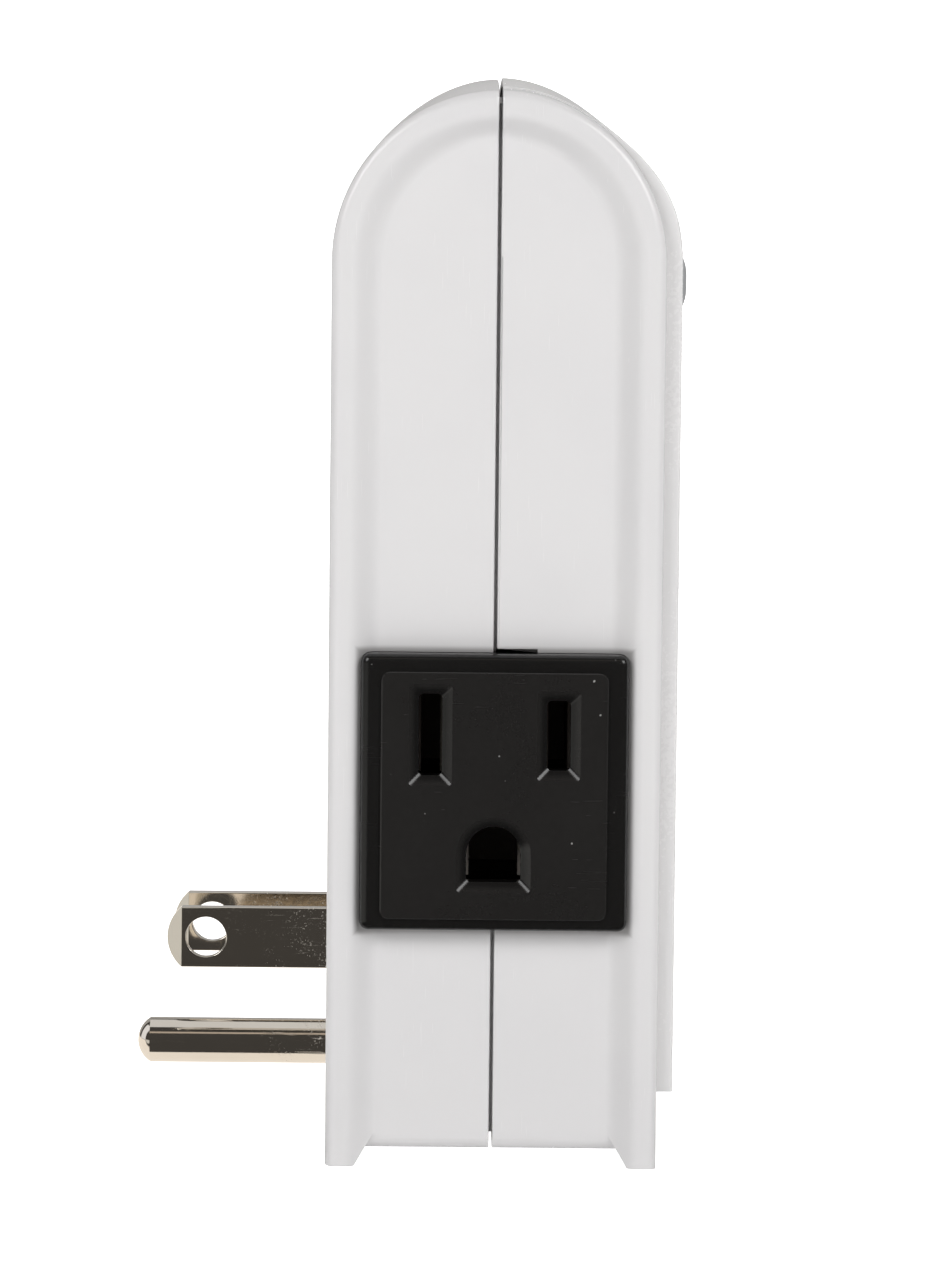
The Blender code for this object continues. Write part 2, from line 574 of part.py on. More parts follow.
def make_meter(green, black, brass, yellow, blue, copper, cream):
    board_back = METER_X + BOARD_THICKNESS
    box("meter_board", (METER_X, -24 * MM, -15.5 * MM), (board_back, -10 * MM, 62 * MM), green)
    parts_x = board_back + GAP
    low = (parts_x, -23 * MM, 34 * MM)
    box("film_capacitor", low, (parts_x + 8 * MM, -11 * MM, 52 * MM), yellow, 0.4 * MM)
    body = [(0, 3.6 * MM), (0.4 * MM, 4 * MM), (11 * MM, 4 * MM), (11.4 * MM, 3.6 * MM)]
    turned("electrolytic_capacitor", body, (parts_x, -17 * MM, 25 * MM), X_AXIS, black, 24)
    disc = [(-2 * MM, 4.6 * MM), (-1.6 * MM, 5 * MM), (1.6 * MM, 5 * MM), (2 * MM, 4.6 * MM)]
    turned("varistor", disc, (parts_x + 5.2 * MM, -17 * MM, 13 * MM), Y_AXIS, blue, 24)
    chip_low = (METER_X - GAP - 1.6 * MM, -20 * MM, 38 * MM)
    box("metering_chip", chip_low, (METER_X - GAP, -13 * MM, 50 * MM), black, 0.2 * MM)
    shunt = [(METER_X - GAP, y) for y in (-22 * MM, -12 * MM)]
    rise = METER_X - 4 * MM
    path = [shunt[0], (rise, -22 * MM), (rise, -12 * MM), shunt[1]]
    strip("current_shunt", path, 0.9 * MM, 14 * MM, 18 * MM, copper)
    busbar_back = BLADE_ROOT - GAP
    low = (BLADE_X - 2 * MM, busbar_back - 0.8 * MM, -2.5 * MM)
    box("hot_busbar", low, (METER_X - GAP, busbar_back, 10 * MM), brass)
    tail_x = CONTACT_TAIL + GAP
    neutral_y = SEAM_Y + SLOT_SPACING / 2
    low = (tail_x, neutral_y - 2.7 * MM, -2.5 * MM)
    high = (tail_x + 0.8 * MM, neutral_y + 0.5 * MM, SLOT_Z + 2 * MM)
    box("neutral_busbar", low, high, brass)
    low = (tail_x + 1.2 * MM, SEAM_Y - 1.5 * MM, PIN_Z - 1.5 * MM)
    high = (tail_x + 2 * MM, busbar_back, SLOT_Z - GROUND_DROP + 2 * MM)
    box("ground_strap", low, high, brass)
    ribbon = [
        (METER_X - GAP - 0.5 * MM, -17 * MM),
        (METER_X - 3 * MM, -17.6 * MM),
        (METER_X - 5 * MM, -20 * MM),
        (METER_X - 6 * MM, -22.5 * MM),
        (METER_X - 6.2 * MM, -24.8 * MM),
    ]
    strip("ribbon_cable", ribbon, 0.6 * MM, 53 * MM, 61 * MM, cream)


def main():
    clear_scene()
    white = finish("white_plastic", (0.75, 0.74, 0.74), 0.25)
    grey = finish("grey_plastic", (0.28, 0.29, 0.3), 0.4)
    black = finish("black_plastic", (0.015, 0.015, 0.015), 0.35)
    clear = finish("clear_plastic", (0.6, 0.65, 0.65), 0.1)
    glass = finish("display_glass", (0.35, 0.4, 0.33), 0.1)
    rubber = finish("pink_rubber", (0.6, 0.35, 0.35), 0.7)
    green = finish("green_board", (0.02, 0.18, 0.06), 0.4)
    nickel = finish("nickel_plate", (0.75, 0.71, 0.64), 0.15, 1.0)
    brass = finish("brass_strip", (0.75, 0.55, 0.25), 0.3, 1.0)
    copper = finish("shunt_alloy", (0.6, 0.35, 0.22), 0.35, 1.0)
    yellow = finish("yellow_film", (0.75, 0.55, 0.05), 0.45)
    blue = finish("blue_coating", (0.03, 0.1, 0.45), 0.4)
    cream = finish("cream_plastic", (0.65, 0.6, 0.5), 0.45)
    steel = finish("zinc_steel", (0.6, 0.6, 0.58), 0.3, 1.0)
    paper = finish("silver_label", (0.62, 0.62, 0.62), 0.45)
    make_casing(white, steel)
    make_cover(white)
    make_display(clear, glass, black, green, rubber, steel)
    make_keys(grey, black, cream)
    make_outlet(black, brass)
    make_blades(nickel, black)
    make_meter(green, black, brass, yellow, blue, copper, cream)
    plate("rear_label", LABEL_CENTRE, LABEL_SIZE, -0.3 * MM, -0.05 * MM, paper)


main()
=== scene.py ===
"""The finished look of a plug-in power meter: arched white case, side outlet, blades and display."""
import json
import math

import bmesh
import bpy
from mathutils import Matrix, Vector


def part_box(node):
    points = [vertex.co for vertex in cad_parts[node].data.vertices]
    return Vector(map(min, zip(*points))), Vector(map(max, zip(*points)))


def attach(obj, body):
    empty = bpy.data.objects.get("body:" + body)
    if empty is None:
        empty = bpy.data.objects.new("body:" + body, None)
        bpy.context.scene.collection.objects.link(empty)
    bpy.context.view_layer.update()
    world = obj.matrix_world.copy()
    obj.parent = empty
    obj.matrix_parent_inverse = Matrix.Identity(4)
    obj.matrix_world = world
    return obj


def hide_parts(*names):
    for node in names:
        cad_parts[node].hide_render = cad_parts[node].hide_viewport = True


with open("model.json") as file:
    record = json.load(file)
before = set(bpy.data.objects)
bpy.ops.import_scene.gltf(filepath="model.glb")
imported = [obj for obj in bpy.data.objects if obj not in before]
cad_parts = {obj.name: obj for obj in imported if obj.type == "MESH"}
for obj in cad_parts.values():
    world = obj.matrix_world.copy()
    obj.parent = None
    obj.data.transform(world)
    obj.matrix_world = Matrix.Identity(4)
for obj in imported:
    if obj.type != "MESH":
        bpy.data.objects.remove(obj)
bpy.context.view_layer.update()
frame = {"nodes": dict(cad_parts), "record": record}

# ---------------------------------------------------------------------------
# White case plastic
# ABS moulded with a bright polish: almost even in colour, with a faint flow
# mottle, a fine orange-peel skin and a few hairline rubs.


class Wire:
    """A shader socket that takes part in ordinary arithmetic, adding the Math nodes it needs."""

    def __init__(self, tree, socket):
        self.tree = tree
        self.socket = socket

    def node(self, kind, settings=None, inputs=None, output=0):
        node = self.tree.nodes.new(kind)
        for key, value in (settings or {}).items():
            setattr(node, key, value)
        for key, value in (inputs or {}).items():
            if isinstance(value, Wire):
                self.tree.links.new(value.socket, node.inputs[key])
            else:
                node.inputs[key].default_value = value
        return Wire(self.tree, node.outputs[output])

    def math(self, operation, *values):
        return self.node("ShaderNodeMath", {"operation": operation}, dict(enumerate(values)))

    def __add__(self, other):
        return self.math("ADD", self, other)

    def __sub__(self, other):
        return self.math("SUBTRACT", self, other)

    def __rsub__(self, other):
        return self.math("SUBTRACT", other, self)

    def __mul__(self, other):
        return self.math("MULTIPLY", self, other)

    __radd__ = __add__
    __rmul__ = __mul__

    def rise(self, low, high):
        """0 below low, 1 above high, and smooth between them."""
        ends = {"From Min": low, "From Max": high, "To Min": 0.0, "To Max": 1.0}
        settings = {"interpolation_type": "SMOOTHSTEP"}
        return self.node("ShaderNodeMapRange", settings, {"Value": self, **ends})

    def stretched(self, scale):
        """The place on the piece, stretched along each axis."""
        return self.node("ShaderNodeMapping", {}, {"Vector": self, "Scale": scale})

    def noise(self, scale, detail=2.0):
        return self.node("ShaderNodeTexNoise", {}, {"Vector": self, "Scale": scale, "Detail": detail})

    def tint(self, low, high):
        """A colour that goes from low to high as this mask rises."""
        ends = {"Factor": self, 6: (*low, 1), 7: (*high, 1)}
        return self.node("ShaderNodeMix", {"data_type": "RGBA"}, ends, 2)

    def bump(self, strength, distance):
        values = {"Height": self, "Strength": strength, "Distance": distance}
        return self.node("ShaderNodeBump", {}, values)

    def to(self, shader, name):
        self.tree.links.new(self.socket, shader.inputs[name])


def finish(name, **constants):
    """A new material: returns it, its shader, and the place on the piece as a Wire."""
    material = bpy.data.materials.new(name)
    material.use_nodes = True
    tree = material.node_tree
    shader = tree.nodes["Principled BSDF"]
    for key, value in constants.items():
        shader.inputs[key.replace("_", " ")].default_value = value
    coordinates = tree.nodes.new("ShaderNodeTexCoord")
    return material, shader, Wire(tree, coordinates.outputs["Object"])


def moulded(name, colour, shade, roughness, grain=0.06, rubs=0.25):
    """Moulded plastic between two close colours, with a fine skin and hairline rubs."""
    material, shader, place = finish(name, IOR=1.5)
    flow = place.noise(55.0, 3.0)
    skin = place.noise(2600.0, 2.0)
    across = place.stretched((900.0, 7000.0, 240.0)).noise(1.0, 1.0)
    hairs = across.rise(0.7, 0.78) * place.noise(120.0).rise(0.5, 0.65)
    (flow.rise(0.3, 0.7) * 0.8 + skin * 0.2).tint(shade, colour).to(shader, "Base Color")
    (roughness + flow * 0.05 + skin * 0.04 + hairs * rubs).to(shader, "Roughness")
    (skin - hairs * 0.5).bump(grain, 0.00004).to(shader, "Normal")
    return material


case_white = moulded("case_white", (0.775, 0.766, 0.768), (0.75, 0.742, 0.748), 0.2)

# ---------------------------------------------------------------------------
# Rear and front casing halves
# Two injection-moulded shells that meet at a V-edged seam. Each is swept up
# the straight side and round the arch, with a rolled rim, a dished side panel
# and a ridge to stand on. A lip in the rear half closes the seam inside.

MM = 0.001
rear_low, rear_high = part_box("rear_shell")
front_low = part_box("front_shell")[0]
half_width = rear_high.x
base_z = rear_low.z
seam_y = (rear_high.y + front_low.y) / 2
radius = (rear_high.y - front_low.y) / 2
crown_rise = 2.2 * MM
post_radius = 4.2 * MM
screw_head_depth = 2.6 * MM
spring_z = rear_high.z - radius - crown_rise
seam_gap = 0.34 * MM
recess_depth = 1.8 * MM
channel_rise = 1.5 * MM
wall = 2.2 * MM
arc_steps = 40


def solid(name, bm):
    """An object from a bmesh, with doubles merged and faces turned outwards."""
    bmesh.ops.remove_doubles(bm, verts=bm.verts, dist=1e-7)
    bmesh.ops.dissolve_degenerate(bm, dist=1e-8, edges=bm.edges)
    bmesh.ops.recalc_face_normals(bm, faces=bm.faces)
    mesh = bpy.data.meshes.new(name)
    bm.to_mesh(mesh)
    bm.free()
    piece = bpy.data.objects.new(name, mesh)
    bpy.context.scene.collection.objects.link(piece)
    return piece


def carve(piece, cutters, operation="DIFFERENCE"):
    """Cut, or join, other solids and keep the result as the piece's mesh."""
    for cutter in cutters:
        modifier = piece.modifiers.new(cutter.name, "BOOLEAN")
        modifier.operation = operation
        modifier.object = cutter
    graph = bpy.context.evaluated_depsgraph_get()
    mesh = bpy.data.meshes.new_from_object(piece.evaluated_get(graph))
    piece.modifiers.clear()
    piece.data = mesh
    bm = bmesh.new()
    bm.from_mesh(mesh)
    bmesh.ops.holes_fill(bm, edges=[edge for edge in bm.edges if edge.is_boundary], sides=0)
    bm.to_mesh(mesh)
    bm.free()
    for cutter in cutters:
        bpy.data.objects.remove(cutter)
    return piece


def show(piece, material, body, nodes=(), sharp=32):
    """Give a finished piece its material and its body, and hide the nodes it stands for."""
    piece.data.materials.clear()
    piece.data.materials.append(material)
    piece.data.shade_smooth()
    piece.data.set_sharp_from_angle(angle=math.radians(sharp))
    evened = piece.modifiers.new("even_shading", "WEIGHTED_NORMAL")
    evened.keep_sharp = True
    if nodes:
        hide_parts(*nodes)
    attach(piece, body)
    return piece


def crown(x, angle):
    """How far the top swells in the middle of the width, at an angle up from the spring line."""
    across = 1 - min(abs(x) / half_width, 1) ** 4
    return crown_rise * across * max(math.sin(angle), 0) ** 3.3


def clear_inside(bm):
    """Merge doubles and drop the faces that an extrusion or a spin left inside."""
    bmesh.ops.remove_doubles(bm, verts=bm.verts, dist=1e-7)
    inner = [face for face in bm.faces if all(len(edge.link_faces) > 2 for edge in face.edges)]
    bmesh.ops.delete(bm, geom=inner, context="FACES_ONLY")


def swept(section, bottom_z, side, proud=None):
    """A bmesh swept up the side and round the arch from a level section.

    Each point of the section is a place across the width and an inset from the face. proud scales
    whatever stands out of the face, by the angle up from the spring line.
    """
    bm = bmesh.new()
    start = [bm.verts.new((x, seam_y + side * (radius - inset), bottom_z)) for x, inset in section]
    face = bm.faces.new(start)
    grown = bmesh.ops.extrude_face_region(bm, geom=[face])["geom"]
    verts = [item for item in grown if isinstance(item, bmesh.types.BMVert)]
    bmesh.ops.translate(bm, vec=(0, 0, spring_z - bottom_z), verts=verts)
    lid = [item for item in grown if isinstance(item, bmesh.types.BMFace)]
    centre = (0, seam_y, spring_z)
    turn = side * math.pi / 2
    bmesh.ops.spin(bm, geom=lid, cent=centre, axis=(1, 0, 0), angle=turn, steps=arc_steps)
    clear_inside(bm)
    for vert in bm.verts:
        out_y, out_z = vert.co.y - seam_y, vert.co.z - spring_z
        if out_z <= 1e-9:
            continue
        angle = math.atan2(out_z, abs(out_y))
        reach = math.hypot(out_y, out_z)
        if proud and reach > radius:
            share = (radius + (reach - radius) * proud(angle)) / reach
            vert.co.y, vert.co.z = seam_y + out_y * share, spring_z + out_z * share
        vert.co.z += crown(vert.co.x, angle)
    return bm


def trim_at_seam(bm, side, gap, round_off):
    """Cut a swept bmesh off square just short of the seam and round the new edges."""
    plane = {"plane_co": (0, seam_y + side * gap / 2, 0), "plane_no": (0, side, 0)}
    everything = bm.verts[:] + bm.edges[:] + bm.faces[:]
    bmesh.ops.bisect_plane(bm, geom=everything, dist=1e-8, clear_inner=True, **plane)
    edges = [edge for edge in bm.edges if edge.is_boundary]
    bmesh.ops.holes_fill(bm, edges=edges, sides=0)
    on_seam = [f for f in bm.faces if all(abs(v.co.y - plane["plane_co"][1]) < 1e-6 for v in f.verts)]
    on_base = [f for f in bm.faces if f.normal.z < -0.999 and len(f.verts) > 8]
    rims = {edge for face in on_seam + on_base for edge in face.edges}
    bmesh.ops.bevel(
        bm, geom=list(rims), offset=round_off, segments=2, profile=0.5, affect="EDGES", material=-1
    )


def rolled(centre, size, start, end, steps):
    """Points along an arc, given in degrees."""
    angles = [math.radians(start + (end - start) * step / steps) for step in range(steps + 1)]
    return [(centre[0] + size * math.cos(a), centre[1] + size * math.sin(a)) for a in angles]


def case_section():
    """The level section of a casing half: seam, dished side, rolled rim and flat face."""
    right = [(half_width - recess_depth, radius), (half_width - recess_depth, 6.5 * MM)]
    for step in range(15):
        share = step / 14
        ease = 0.5 + 0.5 * math.cos(math.pi * share)
        right.append((half_width - recess_depth * ease, (5.1 - 3.3 * share) * MM))
    corner = 0.9 * MM
    right += rolled((half_width - corner, corner), corner, 0, -90, 6)
    flat = half_width - corner
    right += [(flat * (1 - step / 14), 0.0) for step in range(1, 14)]
    return right + [(0.0, 0.0)] + [(-x, inset) for x, inset in right[::-1]]


def hollow(side):
    """The inside of a casing half, which runs just past its seam face."""
    inside_x = half_width - recess_depth - wall
    inset = wall if side > 0 else wall + 1.2 * MM
    section = [(inside_x, radius), (inside_x, inset), (-inside_x, inset), (-inside_x, radius)]
    return solid("hollow", swept(section, base_z + channel_rise + wall, side))


def channel():
    """The space under the case between its two ridges, rounded up into the side panels."""
    bm = bmesh.new()
    turn = 1.6 * MM
    panel_x = half_width - recess_depth
    low = base_z + channel_rise
    arc = rolled((panel_x - turn, low + turn), turn, -90, 0, 5)
    outer = [(half_width + MM, low + turn), (half_width + MM, base_z - MM)]
    right = [(0.0, low)] + arc + outer
    outline = right + [(-x, z) for x, z in right[:0:-1]]
    face = bm.faces.new([bm.verts.new((x, seam_y - MM, z)) for x, z in outline])
    grown = bmesh.ops.extrude_face_region(bm, geom=[face])["geom"]
    verts = [item for item in grown if isinstance(item, bmesh.types.BMVert)]
    bmesh.ops.translate(bm, vec=(0, 2 * MM, 0), verts=verts)
    for vert in bm.verts:
        side = 1 if vert.co.y > seam_y else -1
        half = radius - (2.9 + 0.6 * (vert.co.z - base_z) / MM) * MM
        vert.co.y = seam_y + side * half
    return solid("channel", bm)


def lip_block(inset, start, end):
    """A block that fills the casing at the seam, up to an inset from its outer skin."""
    bm = bmesh.new()
    half = half_width - recess_depth - inset
    low, high = base_z + channel_rise + inset, spring_z + radius - inset - 0.15 * MM
    top = []
    for step in range(21):
        x = half * (1 - step / 10)
        top.append((x, high + crown(x, math.pi / 2)))
    outline = [(-half, low), (half, low)] + top
    face = bm.faces.new([bm.verts.new((x, seam_y + start, z)) for x, z in outline])
    grown = bmesh.ops.extrude_face_region(bm, geom=[face])["geom"]
    verts = [item for item in grown if isinstance(item, bmesh.types.BMVert)]
    bmesh.ops.translate(bm, vec=(0, end - start, 0), verts=verts)
    return solid("lip_block", bm)


def slab(name, low, high, corner=0.0, axis=1, steps=4):
    """A block between two corners, with the edges along one axis rounded."""
    bm = bmesh.new()
    bmesh.ops.create_cube(bm, size=1)
    low, high = Vector(low), Vector(high)
    bmesh.ops.scale(bm, vec=high - low, verts=bm.verts)
    bmesh.ops.translate(bm, vec=(low + high) / 2, verts=bm.verts)
    if corner:
        along = [e for e in bm.edges if abs((e.verts[0].co - e.verts[1].co)[axis]) > 1e-7]
        bmesh.ops.bevel(
            bm, geom=along, offset=corner, segments=steps, profile=0.5, affect="EDGES", material=-1
        )
    return solid(name, bm)


def rod(name, start, end, size, axis=1, sides=32):
    """A plain round bar along an axis, for holes."""
    bm = bmesh.new()
    start, end = Vector(start), Vector(end)
    length = (end - start).length
    bmesh.ops.create_cone(
        bm, cap_ends=True, segments=sides, radius1=size, radius2=size, depth=length
    )
    turn = Matrix.Rotation(math.pi / 2, 3, "X" if axis == 1 else "Y")
    bmesh.ops.rotate(bm, matrix=turn, verts=bm.verts)
    bmesh.ops.translate(bm, vec=(start + end) / 2, verts=bm.verts)
    return solid(name, bm)


outlet_low, outlet_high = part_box("outlet_housing")
screws = {name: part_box(name) for name in sorted(frame["nodes"]) if name.startswith("case_screw")}


def outlet_hole():
    clear = 0.04 * MM
    low = (outlet_low.x - MM, outlet_low.y - clear, outlet_low.z - clear)
    high = (-half_width + 5 * MM, outlet_high.y + clear, outlet_high.z + clear)
    return slab("outlet_hole", low, high, 0.9 * MM, axis=0)


def screw_holes(deep):
    """The screws' clearance holes and, in the rear half, the wells for their heads."""
    holes = []
    for low, high in screws.values():
        middle = (low + high) / 2
        spots = [(middle.x, low.y - MM, middle.z), (middle.x, rear_high.y + MM, middle.z)]
        if deep:
            spots[0] = (middle.x, high.y - screw_head_depth, middle.z)
            holes.append(rod("well", spots[0], spots[1], (high.x - low.x) / 2 + 0.25 * MM))
        else:
            holes.append(rod("shaft_hole", spots[0], spots[1], 1.6 * MM))
    return holes


def posts(side):
    """The screw posts, from the seam to the face, as cuts out of the hollow."""
    made = []
    for low, high in screws.values():
        middle = (low + high) / 2
        ends = [seam_y - side * MM, seam_y + side * (radius + MM)]
        places = [(middle.x, y, middle.z) for y in sorted(ends)]
        made.append(rod("post", *places, post_radius))
    return made


def casing(side):
    bm = swept(case_section(), base_z, side)
    trim_at_seam(bm, side, seam_gap, 0.22 * MM)
    shell = solid("casing", bm)
    inside = carve(hollow(side), posts(side))
    carve(shell, [inside, channel()])
    return shell


lip_reach = 1.6 * MM
rear_case = casing(1)
lip = lip_block(1.6 * MM, -lip_reach, 3 * MM)
carve(lip, [lip_block(wall, -2 * lip_reach, 4 * MM)])
carve(rear_case, [lip], "UNION")
blade_low, blade_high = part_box("neutral_blade")
hot_low, hot_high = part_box("hot_blade")
pin_low, pin_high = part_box("ground_pin")
openings = [outlet_hole()] + screw_holes(True) + screw_holes(False)
for name, low, high in (("neutral_way", blade_low, blade_high), ("hot_way", hot_low, hot_high)):
    grow = Vector((0.15 * MM, 0, 0.15 * MM))
    near = Vector((low.x, -4 * MM, low.z)) - grow
    far = Vector((high.x, 2 * MM, high.z)) + grow
    openings.append(slab(name, near, far, 0.2 * MM))
pin_middle = (pin_low + pin_high) / 2
pin_radius = (pin_high.x - pin_low.x) / 2
pin_ends = [(pin_middle.x, y, pin_middle.z) for y in (-4 * MM, 2 * MM)]
openings.append(rod("pin_way", pin_ends[0], pin_ends[1], pin_radius + 0.15 * MM, sides=48))
label_low, label_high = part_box("rear_label")
grow = Vector((0.3 * MM, 0, 0.3 * MM))
pocket_low = Vector((label_low.x, label_low.y - 0.1 * MM, label_low.z)) - grow
pocket_high = Vector((label_high.x, 2 * MM, label_high.z)) + grow
openings.append(slab("label_pocket", pocket_low, pocket_high, 1.2 * MM))
carve(rear_case, openings)
rear_case.name = "rear_case"
show(rear_case, case_white, "case", ["rear_shell"])

cover_low, cover_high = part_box("front_cover")
cover_half = cover_high.x
cover_bottom = cover_low.z
cover_front = cover_low.y
proud = -(cover_front - front_low.y)
seat_depth = 1.15 * MM
joint_gap = 0.1 * MM
frame_low, frame_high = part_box("lcd_frame")
key_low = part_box("key_cap_1")[0]
key_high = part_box("key_cap_4")[1]


def band_section(half, inner, outer, corner):
    """A plate that wraps the front: its outer edges are rolled."""
    steps = 24
    flat = half - corner
    across = [flat * (1 - 2 * step / steps) for step in range(1, steps)]
    right = [(half, inner)] + rolled((half - corner, outer + corner), corner, 0, -90, 4)
    left = [(-x, inset) for x, inset in right[::-1]]
    inside = [(-x, inner) for x in across]
    return right + [(x, outer) for x in across] + left + inside


front_case = casing(-1)
pocket_section = band_section(cover_half + joint_gap, seat_depth, -4 * MM, 0.1 * MM)
pocket = swept(pocket_section, cover_bottom - joint_gap, -1)
way = 0.5 * MM
cuts = [
    lip_block(1.52 * MM, -lip_reach - 0.2 * MM, 4 * MM),
    solid("cover_pocket", pocket),
    outlet_hole(),
    slab("frame_way", (frame_low.x - way, cover_front, frame_low.z - way),
         (frame_high.x + way, frame_high.y, frame_high.z + way), MM),
    slab("key_way", (key_low.x - MM, cover_front, key_low.z - way),
         (key_high.x + MM, frame_high.y, key_high.z + way), MM),
]
gap_z = outlet_high.z + 0.42 * MM
vent_low = (-half_width - MM, seam_y - 4.2 * MM, outlet_high.z)
cuts.append(slab("seam_vent", vent_low, (-half_width + 6 * MM, seam_y, gap_z)))
carve(rear_case, [slab("lip_vent", vent_low, (-half_width + 6 * MM, seam_y - 0.1 * MM, gap_z))])
carve(front_case, cuts + screw_holes(False))
front_case.name = "front_case"
show(front_case, case_white, "case", ["front_shell"])

# ---------------------------------------------------------------------------
# Front cover
# A separate polished plate that starts at the top seam, runs over the arch and
# down the front. It is snapped into a shallow seat, so a fine line shows round it.

# The cover's white is a little lighter than the case's: painted light that evens out the shade on its
# set-back band.
cover_white = moulded("cover_white", (0.83, 0.82, 0.82), (0.805, 0.8, 0.8), 0.22, rubs=0.2)


def cover_share(angle):
    """How proud the cover is on the arch, as a share of its height on the front."""
    blend = min(max((58 - math.degrees(angle)) / 46, 0), 1)
    thin = 0.09
    return thin + (1 - thin) * blend * blend * (3 - 2 * blend)


plate_section = band_section(cover_half, seat_depth - 0.15 * MM, -proud, 0.3 * MM)
plate_bm = swept(plate_section, cover_bottom, -1, cover_share)
trim_at_seam(plate_bm, -1, seam_gap, 0.12 * MM)
cover = solid("cover_plate", plate_bm)
lens_low, lens_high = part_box("lcd_lens")
glass_low, glass_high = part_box("lcd_glass")


def flared(name, low, high, mouth, flare, corner):
    """A cut with round corners that flares out to a soft edge at the front."""
    bm = bmesh.new()
    middle = ((low[0] + high[0]) / 2, (low[1] + high[1]) / 2)
    half = ((high[0] - low[0]) / 2, (high[1] - low[1]) / 2)
    bmesh.ops.create_grid(bm, x_segments=1, y_segments=1, size=1)
    bmesh.ops.scale(bm, vec=(half[0], half[1], 1), verts=bm.verts)
    bmesh.ops.bevel(
        bm, geom=bm.verts, offset=corner, segments=5, profile=0.5, affect="VERTICES", material=-1
    )
    bmesh.ops.rotate(bm, matrix=Matrix.Rotation(math.pi / 2, 3, "X"), verts=bm.verts)
    bmesh.ops.translate(bm, vec=(middle[0], mouth[1], middle[1]), verts=bm.verts)
    face = bm.faces[:][0]
    for y, grow in ((mouth[0], 0.0), (mouth[0] - flare, flare), (mouth[0] - flare - MM, flare)):
        grown = bmesh.ops.extrude_face_region(bm, geom=[face])["geom"]
        verts = [item for item in grown if isinstance(item, bmesh.types.BMVert)]
        face = [item for item in grown if isinstance(item, bmesh.types.BMFace)][0]
        for vert in verts:
            out_x, out_z = vert.co.x - middle[0], vert.co.z - middle[1]
            vert.co.y = y
            vert.co.x = middle[0] + out_x * (1 + grow / half[0])
            vert.co.z = middle[1] + out_z * (1 + grow / half[1])
    clear_inside(bm)
    return solid(name, bm)


lens_gap = 0.1 * MM
seat_floor = lens_high.y + 0.1 * MM
cuts = [
    flared("lens_seat", (lens_low.x - lens_gap, lens_low.z - lens_gap),
           (lens_high.x + lens_gap, lens_high.z + lens_gap),
           (cover_front + 0.12 * MM, seat_floor), 0.12 * MM, 1.6 * MM),
    flared("view_hole", (glass_low.x + MM, glass_low.z + MM), (glass_high.x - MM, glass_high.z - MM),
           (seat_floor - 0.1 * MM, cover_front + 5 * MM), 0.1 * MM, MM),
]
keys = {name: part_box(name) for name in sorted(frame["nodes"]) if name.startswith("key_cap")}
key_half = (5.5 * MM, 2.4 * MM)
key_gap = 0.15 * MM
key_corner = 0.8 * MM
for low, high in keys.values():
    x, z = (low.x + high.x) / 2, (low.z + high.z) / 2
    cuts.append(
        flared("key_window", (x - key_half[0] - key_gap, z - key_half[1] - key_gap),
               (x + key_half[0] + key_gap, z + key_half[1] + key_gap),
               (cover_front + 0.15 * MM, cover_front + 5 * MM), 0.15 * MM, 0.9 * MM))
for cut in cuts:
    carve(cover, [cut])
show(cover, cover_white, "case", ["front_cover"])

# ---------------------------------------------------------------------------
# Push keys
# Grey moulded caps with a low dome. Each stands just out of the cover and
# rides on its own switch.

key_grey = moulded("key_grey", (0.34, 0.35, 0.36), (0.3, 0.308, 0.318), 0.34, grain=0.12)
dome = 0.42 * MM
dome_inset = 1.9 * MM
cap_drop = 0.15 * MM
for number, (name, (low, high)) in enumerate(keys.items(), 1):
    x, z = (low.x + high.x) / 2, (low.z + high.z) / 2
    outline = []
    for turn, (side, end) in enumerate(((1, 1), (-1, 1), (-1, -1), (1, -1))):
        corner = (side * (key_half[0] - key_corner), end * (key_half[1] - key_corner))
        outline += rolled(corner, key_corner, 90 * turn, 90 * turn + 90, 5)
    bm = bmesh.new()
    face = bm.faces.new([bm.verts.new((along, cover_front + 3.2 * MM, up)) for along, up in outline])
    before = 0.0
    for inset in (0.0, 0.06 * MM, 0.3 * MM, 0.7 * MM, 1.1 * MM, 1.5 * MM, dome_inset):
        grown = bmesh.ops.extrude_face_region(bm, geom=[face])["geom"]
        face = [item for item in grown if isinstance(item, bmesh.types.BMFace)][0]
        for vert in face.verts:
            vert.co.x *= (key_half[0] - inset) / (key_half[0] - before)
            vert.co.z *= (key_half[1] - inset) / (key_half[1] - before)
            vert.co.y = low.y + cap_drop + dome * (1 - inset / dome_inset) ** 2.4
        before = inset
    clear_inside(bm)
    bmesh.ops.translate(bm, vec=(x, 0, z), verts=bm.verts)
    key = solid(f"key_{number}_cap", bm)
    stem = rod("stem", (x, cover_front + 3 * MM, z), (x, high.y, z), 1.2 * MM)
    skirt_low = (low.x, cover_front + 2.95 * MM, low.z)
    skirt = slab("skirt", skirt_low, (high.x, cover_front + 3.9 * MM, high.z), 0.6 * MM)
    carve(key, [skirt, stem], "UNION")
    show(key, key_grey, f"key_{number}", [name])

# ---------------------------------------------------------------------------
# Display
# A clear window glued into the cover, a dark frame, and a reflective liquid
# crystal glass whose unlit segments show faintly. The rest is inside.

lens_clear, shader, place = finish(
    "lens_clear", Roughness=0.03, IOR=1.49, Transmission_Weight=1.0, Base_Color=(0.97, 0.98, 0.98, 1)
)
place.noise(180.0).bump(0.02, 0.0001).to(shader, "Normal")
lens = slab("window_lens", lens_low, lens_high, 1.5 * MM)
bm = bmesh.new()
bm.from_mesh(lens.data)
rims = [e for e in bm.edges if abs(e.verts[0].co.y - e.verts[1].co.y) < 1e-7 and e.calc_face_angle(0) > 0.5]
bmesh.ops.bevel(bm, geom=rims, offset=0.12 * MM, segments=2, profile=0.5, affect="EDGES", material=-1)
bm.to_mesh(lens.data)
bm.free()
show(lens, lens_clear, "case", ["lcd_lens"])

